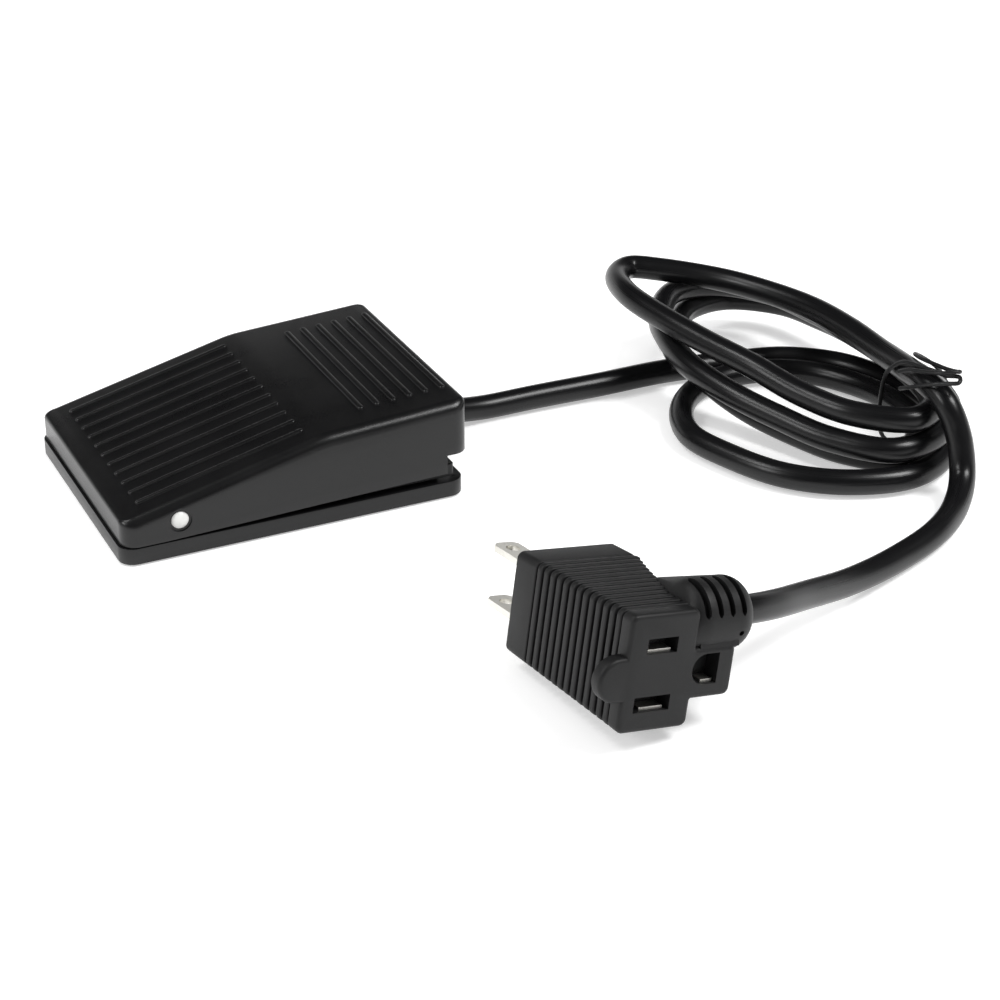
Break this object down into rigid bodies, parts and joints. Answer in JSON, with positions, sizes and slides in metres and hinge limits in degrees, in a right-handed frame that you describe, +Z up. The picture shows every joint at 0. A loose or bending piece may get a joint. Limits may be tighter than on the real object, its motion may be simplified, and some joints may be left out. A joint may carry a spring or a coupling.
{
  "type": "foot switch with stacking plug",
  "caption": "Sewing machine foot pedal: a ribbed hinged tread over a base plate with a switch and spring inside, and a tied cord that ends in a stacking mains plug.",
  "frame": {"origin": "centre of the housing's footprint, on the floor under the rubber feet", "axes": "+X to the right-hand side, +Y from the low hinge end to the high cord end, +Z up"},
  "size_m": [0.191, 0.2211, 0.0317],
  "materials": {
    "black_abs": "moulded ABS, fine spark texture",
    "base_abs": "moulded ABS, smoother than the cover",
    "pin_nylon": "natural white nylon, smooth",
    "steel": "zinc plated",
    "spring_steel": "bright drawn wire",
    "rubber": "matt rubber",
    "switch_case": "phenolic case",
    "plunger_red": "smooth red acetal",
    "brass": "tinned brass strip",
    "nickel": "nickel-plated brass",
    "cord_pvc": "extruded PVC jacket, satin gloss",
    "sleeve_pvc": "moulded soft PVC",
    "core_black": "thin PVC insulation",
    "core_white": "thin PVC insulation",
    "tie_black": "plastic-coated wire",
    "plug_pvc": "moulded PVC, matt"
  },
  "bodies": {
    "base": {"base_plate": "base_abs", "hinge_pin": "pin_nylon", "rubber_feet": "rubber", "bumper_pads": "rubber", "switch_body": "switch_case", "switch_terminals": "brass", "switch_screws": "steel", "switch_nuts": "steel", "return_spring": "spring_steel", "cord_clamp": "base_abs", "clamp_screws": "steel", "cord_grommet": "sleeve_pvc", "cord_inner": "cord_pvc", "wire_live": "core_black", "wire_load": "core_white", "crimp_terminals": "brass", "cord": "cord_pvc", "cord_tie": "tie_black", "plug_body": "plug_pvc", "plug_relief": "plug_pvc", "blade_hot": "nickel", "blade_neutral": "nickel", "ground_pin": "nickel", "contact_hot": "nickel", "contact_neutral": "nickel", "contact_ground": "nickel"},
    "cover": {"pedal_cover": "black_abs", "press_screw": "steel"},
    "plunger": {"switch_plunger": "plunger_red"}
  },
  "joints": [
    {"name": "cover_hinge", "type": "hinge", "parent": "base", "child": "cover", "pos_m": [0, -0.03015, 0.0095], "axis": [-1, 0, 0], "range_deg": [0, 1.6], "stiffness_Nm_per_rad": 1.4, "springref_deg": -2.06, "deforming": ["return_spring"]},
    {"name": "plunger_slide", "type": "slide", "parent": "base", "child": "plunger", "axis": [0, 0, -1], "range_m": [0, 0.0013], "stiffness_N_per_m": 60, "springref_m": -0.01}
  ],
  "couplings": [
    {"joint": "plunger_slide", "follows": "cover_hinge", "m_per_rad": 0.0444}
  ]
}
